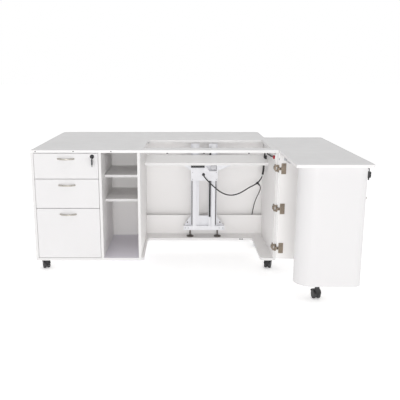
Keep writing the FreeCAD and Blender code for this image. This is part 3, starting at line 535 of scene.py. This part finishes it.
# ---------------------------------------------------------------- carried-over metal and plastic
def paint_nodes():
    finishes = {
        "top_drawer_handle": SATIN_X, "middle_drawer_handle": SATIN_X, "bottom_drawer_handle": SATIN_X,
        "wing_door_handle": SATIN_Y, "drawer_lock": BLACK_CHROME, "wing_lock": BLACK_CHROME,
        "drawer_key": BLACK_PLASTIC, "wing_key": BLACK_PLASTIC,
        "edge_inserts_and_bumpers": BLACK_PLASTIC, "lift_motor_and_gland": HEAD_BLACK_AND_RECESS_SHADE,
        "lift_drive_tube": BLACK_PAINT, "lift_frame": LIFT_WHITE, "lift_head": LIFT_WHITE,
        "lift_feet_and_bolts": DARK_STEEL, "wing_hinge_plates": HINGE, "wing_fittings": HINGE,
        "switch_case": WHITE_PLASTIC, "switch_button": RED_PLASTIC,
    }
    for name, piece in nodes.items():
        if piece.hide_render:
            continue
        if name.startswith("caster_housing"):
            finish = BLACK_PLASTIC
        elif name.startswith("caster_wheels"):
            finish = TREAD
        else:
            finish = finishes.get(name, ZINC)
        piece.data.materials.clear()
        piece.data.materials.append(finish)


# ---------------------------------------------------------------- screws
def screw_head(radius):
    """A low pan head with a cross recess, standing on z = 0."""
    height = 0.55 * radius
    steps = ((1.0, 0.0), (0.97, 0.35), (0.78, 0.8), (0.52, 0.97), (0.30, 1.0), (0.12, 1.0), (0.0, 1.0))
    build = lathe([(radius * share, height * rise) for share, rise in steps])
    for vert in build.verts:
        reach = math.hypot(vert.co.x, vert.co.y)
        on_arm = min(abs(vert.co.x), abs(vert.co.y)) < 0.02 * radius
        if reach < 0.55 * radius and on_arm and vert.co.z > 0.5 * height:
            vert.co.z -= 0.45 * height
    return build


def screws(name, body, finish, places, radius=0.0035):
    """A group of screw heads; places are (position, outward direction) pairs."""
    parts = []
    for place, direction in places:
        parts.append((screw_head(radius), Matrix.Translation(place) @ turned_to(direction)))
    dress(joined(name, parts), finish, body)


def hinge_screws():
    """Heads on the wing's hinges, with each arm's dark adjusting socket."""
    plates = []
    cups = []
    sockets = []
    for z in (0.655, 0.412, 0.167):
        for rise in (-0.013, 0.013):
            plates.append((at(1.445, 0.032, z + rise), (-1, 0, 0)))
        for rise in (-0.025, 0.025):
            cups.append((at(1.492, -0.021, z + rise), (0, -1, 0)))
        socket = lathe([(0.0038, 0.0), (0.0038, 0.0012), (0.0024, 0.0012), (0.0024, 0.0004), (0, 0.0004)])
        sockets.append((socket, Matrix.Translation(at(1.4715, -0.024, z)) @ turned_to((0, -1, 0))))
    screws("wing_hinge_plate_screws", "cabinet", HINGE, plates)
    screws("wing_hinge_cup_screws", "wing", HINGE, cups, 0.0038)
    dress(joined("wing_hinge_sockets", sockets), BLACK_CHROME, "wing")


def leaf_screws():
    rear_fixed = []
    rear_moving = []
    for x in (0.160, 0.732, 1.305):
        for across in (-0.020, 0.020):
            rear_fixed.append((at(x + across, 0.631, 0.7445), (0, 0, -1)))
            rear_moving.append((at(x + across, 0.666, 0.7445), (0, 0, -1)))
    side_fixed = []
    side_moving = []
    for y in (0.120, 0.324, 0.530):
        for across in (-0.020, 0.020):
            side_fixed.append((at(1.4665, y + across, 0.722), (1, 0, 0)))
            side_moving.append((at(1.487, y + across, 0.7445), (0, 0, -1)))
    screws("leaf_hinge_screws_fixed", "cabinet", ZINC, rear_fixed + side_fixed, 0.003)
    screws("rear_leaf_hinge_screws", "rear_leaf", ZINC, rear_moving, 0.003)
    screws("side_leaf_hinge_screws", "side_leaf", ZINC, side_moving, 0.003)


def small_screws():
    for size, z in (("top", 0.710), ("middle", 0.552), ("bottom", 0.373)):
        inside = [(at(0.2075 + side * 0.048, 0.016, z), (0, 1, 0)) for side in (-1, 1)]
        screws(size + "_handle_screws", size + "_drawer", ZINC, inside, 0.0042)
    inside = [(at(1.832, -0.378 + side * 0.048, 0.565), (-1, 0, 0)) for side in (-1, 1)]
    screws("wing_handle_screws", "wing_door", ZINC, inside, 0.0042)
    plate = [(at(1.443, 0.025 + side * 0.0155, 0.717 + side * 0.0155), (-1, 0, 0)) for side in (-1, 1)]
    screws("switch_screws", "cabinet", ZINC, plate, 0.002)
    flaps = []
    for z in (0.640, 0.205):
        for rise in (-0.012, 0.012):
            flaps.append((at(1.8495, -0.036, z + rise), (1, 0, 0)))
    screws("wing_door_flap_screws", "wing_door", ZINC, flaps, 0.0028)


# ---------------------------------------------------------------- lift details
def lift_details():
    """Dark brown sheets in the columns' slots as painted shade, bolt heads on the beam and screws on the
    head.
    """
    # Painted shade: a thin dark brown sheet in each column's slot, where there is only shade.
    for side, label in ((-1, "left"), (1, "right")):
        x0, x1 = sorted((1.041 + side * 0.0785, 1.041 + side * 0.0835))
        shade_sheet = box_mesh(at(x0, 0.4592, 0.182), at(x1, 0.4599, 0.640))
        piece = from_bmesh(f"column_slot_shade_{label}", shade_sheet, smooth=False)
        dress(bevelled(piece, 0.0002, 1), SLOT_SHADE_BROWN, "cabinet")
    bolts = []
    for x in (0.915, 0.935, 1.147, 1.172):
        bolts.append((at(x, 0.446, 0.162), (0, -1, 0)))
    screws("lift_beam_bolts", "cabinet", ZINC, bolts, 0.004)
    corners = []
    for x in (0.962, 1.120):
        for z in (0.511, 0.556):
            corners.append((at(x, 0.399, z), (0, -1, 0)))
    screws("lift_head_screws", "lift", ZINC, corners, 0.0034)


# ---------------------------------------------------------------- casters
def caster_hubs():
    """A domed cap with a raised ring on both outer faces of every caster."""
    face = 0.0045 + 0.0008 + 0.015
    cap = ((0.0178, -0.0016), (0.0178, -0.0004), (0.0165, 0.0003), (0.0120, 0.0003), (0.0112, -0.0004),
           (0.0100, -0.0004), (0.0090, 0.0004), (0.0050, 0.0011), (0.0, 0.0013))
    for joint in frame["joints"]:
        if not joint["name"].startswith("caster_roll_"):
            continue
        centre = Vector(joint["pos_m"])
        axis = Vector(joint["axis"]).normalized()
        caps = []
        for side in (-1, 1):
            place = Matrix.Translation(centre + axis * side * face) @ turned_to(axis * side)
            caps.append((lathe(cap, 32), place))
        label = joint["name"].replace("caster_roll_", "")
        dress(joined(f"caster_caps_{label}", caps), BLACK_PLASTIC, joint["child"])


# ---------------------------------------------------------------- cords
def nurbs(name, points, diameter):
    curve = bpy.data.curves.new(name, "CURVE")
    curve.dimensions = "3D"
    curve.bevel_depth = diameter / 2
    curve.bevel_resolution = 5
    curve.resolution_u = 6
    curve.use_fill_caps = True
    spline = curve.splines.new("NURBS")
    spline.points.add(len(points) - 1)
    for point, place in zip(spline.points, points):
        point.co = (*place, 1)
    spline.order_u = 3
    spline.use_endpoint_u = True
    piece = bpy.data.objects.new(name, curve)
    bpy.context.scene.collection.objects.link(piece)
    return piece


def centreline(piece):
    """The points of a curve's own line, read with its bevel off."""
    depth = piece.data.bevel_depth
    piece.data.bevel_depth = 0
    bpy.context.view_layer.update()
    line = bpy.data.meshes.new_from_object(piece.evaluated_get(bpy.context.evaluated_depsgraph_get()))
    points = [vert.co.copy() for vert in line.vertices]
    bpy.data.meshes.remove(line)
    piece.data.bevel_depth = depth
    return points


def length_of(points):
    return sum((b - a).length for a, b in zip(points, points[1:]))


def lift_cable():
    """The lift's own cable, a sheath round its route from the gland."""
    curve = nurbs("lift_cable_line", [at(*p) for p in CABLE_ROUTE], CABLE_D)
    path = centreline(curve)
    bpy.data.objects.remove(curve)
    cable = tube("lift_cable_sheath", path, [CABLE_D / 2] * len(path))
    cable.data.materials.append(BLACK_RUBBER)
    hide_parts("lift_cable")
    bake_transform(cable)
    return path


def mains_lead(plug):
    """The thinner lead from the cable's boot to the plug, its spare length in a coil."""
    points = [at(*p) for p in LEAD_ROUTE]
    centre = Vector(COIL_CENTRE)
    first = math.atan2(LEAD_ROUTE[-1][1] - centre.y, LEAD_ROUTE[-1][0] - centre.x)
    last = math.pi / 2 + 2 * math.pi * COIL_TURNS
    steps = POINTS_A_TURN * COIL_TURNS
    for step in range(1, steps + 1):
        turned = first + (last - first) * step / steps
        turn = (turned - first) / (2 * math.pi)
        index = min(int(turn), COIL_TURNS - 1)
        share = turn - index
        ahead = min(index + 1, COIL_TURNS - 1)
        ease = max(0.0, (share - 0.75) / 0.25)
        radius = TURN_R[index] + (TURN_R[ahead] - TURN_R[index]) * ease
        height = TURN_Z[index] + (TURN_Z[ahead] - TURN_Z[index]) * ease
        x = centre.x + radius * math.cos(turned)
        y = centre.y + radius * math.sin(turned)
        points.append(at(x, y, height))
    for x, z in ((1.249, 0.0165), (1.239, 0.0150), (1.230, 0.0130), (1.222, 0.0130)):
        points.append(at(x, centre.y + COIL_R, z))
    lead = nurbs("mains_lead_sheath", points, LEAD_D)
    path = centreline(lead)
    lead.data.materials.append(BLACK_RUBBER)
    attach(lead, "cabinet")
    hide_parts("mains_lead", "mains_coil")
    return path


def lead_boot(cable_path, lead_path):
    """The moulded collar on the lift cable, and the tapered relief where the lead leaves it."""
    near = min(range(len(cable_path)), key=lambda i: (cable_path[i] - lead_path[0]).length)
    collar = resampled(cable_path[near - 2:near + 3], 20)
    radii = [0.0050 + 0.0016 * math.sin(math.pi * i / 19) for i in range(20)]
    dress(tube("boot_collar", collar, radii), BLACK_RUBBER, "cabinet")
    steps = 25
    relief = resampled(lead_path, 1 + round(length_of(lead_path) / 0.00125))[:steps]
    radii = [0.0058 - 0.0022 * i / (steps - 1) - (0.0006 if i % 4 == 3 else 0.0) for i in range(steps)]
    dress(tube("boot_relief", relief, radii), BLACK_RUBBER, "cabinet")


def stretch_of(path, low, high):
    """The points of a path between two heights, on its last rise."""
    start = max(i for i, p in enumerate(path) if p.z < low)
    end = min(i for i in range(start, len(path)) if path[i].z > high)
    return path[start:end + 1]


def cable_fittings(path):
    """Corrugated sleeve, pale tie and saddle clip on the lift cable."""
    sleeve = resampled(stretch_of(path, 0.541, 0.600), 60)
    radii = [0.0064 + 0.0006 * math.cos(i * math.pi / 1.5) for i in range(len(sleeve))]
    radii[0] = radii[-1] = 0.0045
    dress(tube("cable_sleeve", sleeve, radii), BLACK_RUBBER, "cabinet")
    tie = resampled(stretch_of(path, 0.532, 0.537), 8)
    dress(tube("cable_tie", tie, [0.0052] * 8), PALE_TIE, "cabinet")
    grip = resampled(stretch_of(path, 0.642, 0.684), 24)
    radii = [0.0058 if i % 23 else 0.0046 for i in range(24)]
    dress(tube("cable_clip", grip, radii), BLACK_PLASTIC, "cabinet")
    low = at(1.4385, 0.378, 0.650)
    high = at(1.449, 0.402, 0.672)
    foot = from_bmesh("cable_clip_foot", box_mesh(low, high))
    dress(bevelled(foot, 0.0015, 3), BLACK_PLASTIC, "cabinet")


def resampled(path, count):
    """A path again with evenly spaced points."""
    total = length_of(path)
    made = []
    leg = 0
    gone = 0.0
    for i in range(count):
        want = total * i / (count - 1)
        while leg < len(path) - 2 and gone + (path[leg + 1] - path[leg]).length < want:
            gone += (path[leg + 1] - path[leg]).length
            leg += 1
        span = (path[leg + 1] - path[leg]).length
        made.append(path[leg].lerp(path[leg + 1], min(1.0, (want - gone) / span)))
    return made


def mains_plug():
    """A moulded two-pin plug with finger grips, a ribbed relief and sleeved pins."""
    face = PLUG_FACE_X
    y = COIL_CENTRE[1] + COIL_R
    z = PLUG_Z
    low = at(face, y - PLUG_HALF_WIDTH, 0.0005)
    high = at(face + PLUG_LENGTH, y + PLUG_HALF_WIDTH, PLUG_TOP)
    body = from_bmesh("plug_body", box_mesh(low, high))
    for vert in piece_grid(body, 6).vertices:
        along = (vert.co.x - at(face, 0, 0).x) / PLUG_LENGTH
        waist = 1.0 - 0.16 * math.sin(math.pi * min(1.0, along * 1.2)) ** 2 - 0.25 * max(0.0, along - 0.7)
        vert.co.y = at(0, y, 0).y + (vert.co.y - at(0, y, 0).y) * waist
    dress(bevelled(body, 0.003, 3), BLACK_PLASTIC, "cabinet")
    steps = []
    for i in range(9):
        x = 0.0025 * i
        radius = 0.0072 - 0.0003 * i
        groove = radius - 0.0012
        steps += [(radius, x), (radius, x + 0.0016), (groove, x + 0.0017), (groove, x + 0.0024)]
    steps.insert(0, (0.0, 0.0))
    steps.append((0.0, 0.0240))
    turn = Matrix.Translation(at(face + 0.0435, y, z)) @ turned_to((1, 0, 0))
    relief = joined("plug_relief", [(lathe(steps), turn)])
    dress(relief, BLACK_RUBBER, "cabinet")
    pins = []
    sleeves = []
    pin = [(0, 0.008), (0.0022, 0.008), (0.0022, 0.0178), (0.0015, 0.0188), (0, 0.0189)]
    sleeve = [(0, 0), (0.0024, 0), (0.0024, 0.0095), (0, 0.0095)]
    for side in (-1, 1):
        turn = Matrix.Translation(at(face, y + side * PIN_SPREAD, z)) @ turned_to((-1, 0, 0))
        pins.append((lathe(pin), turn))
        sleeves.append((lathe(sleeve), turn))
    bare = dress(joined("plug_pins", pins), ZINC, "cabinet")
    sleeved = dress(joined("plug_pin_sleeves", sleeves), BLACK_PLASTIC, "cabinet")
    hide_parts("mains_plug")
    return [body, relief, bare, sleeved]


def piece_grid(piece, cuts):
    """Subdivides every face of a piece's mesh and returns the mesh."""
    build = bmesh.new()
    build.from_mesh(piece.data)
    bmesh.ops.subdivide_edges(build, edges=build.edges, cuts=cuts, use_grid_fill=True)
    build.to_mesh(piece.data)
    build.free()
    return piece.data


# ---------------------------------------------------------------- small fittings
def small_fittings():
    dots = []
    for x in (1.290, 1.304):
        cap = lathe([(0.0048, -0.001), (0.0048, 0.0003), (0.0034, 0.0011), (0, 0.0012)])
        dots.append((cap, Matrix.Translation(at(x, 0.422, 0.0895)) @ turned_to((0, -1, 0))))
    dress(joined("cutout_edge_caps", dots), BLACK_PLASTIC, "cabinet")
    hook_path = [at(1.500, -0.0225, 0.716), at(1.503, -0.0225, 0.706), at(1.510, -0.024, 0.698),
                 at(1.519, -0.0255, 0.692), at(1.528, -0.0245, 0.689)]
    hook = tube("wing_latch_hook", resampled(hook_path, 16), [0.0022] * 16, 12)
    dress(hook, ZINC, "wing")
    plate = from_bmesh("wing_latch_plate", box_mesh(at(1.492, -0.0205, 0.704), at(1.508, -0.018, 0.730)))
    dress(bevelled(plate, 0.0006), ZINC, "wing")


# ---------------------------------------------------------------- order of work
studio()
boards()
paint_nodes()
hinge_screws()
leaf_screws()
small_screws()
lift_details()
caster_hubs()
cable_path = lift_cable()
cable_fittings(cable_path)
lead_path = mains_lead(mains_plug())
lead_boot(cable_path, lead_path)
small_fittings()
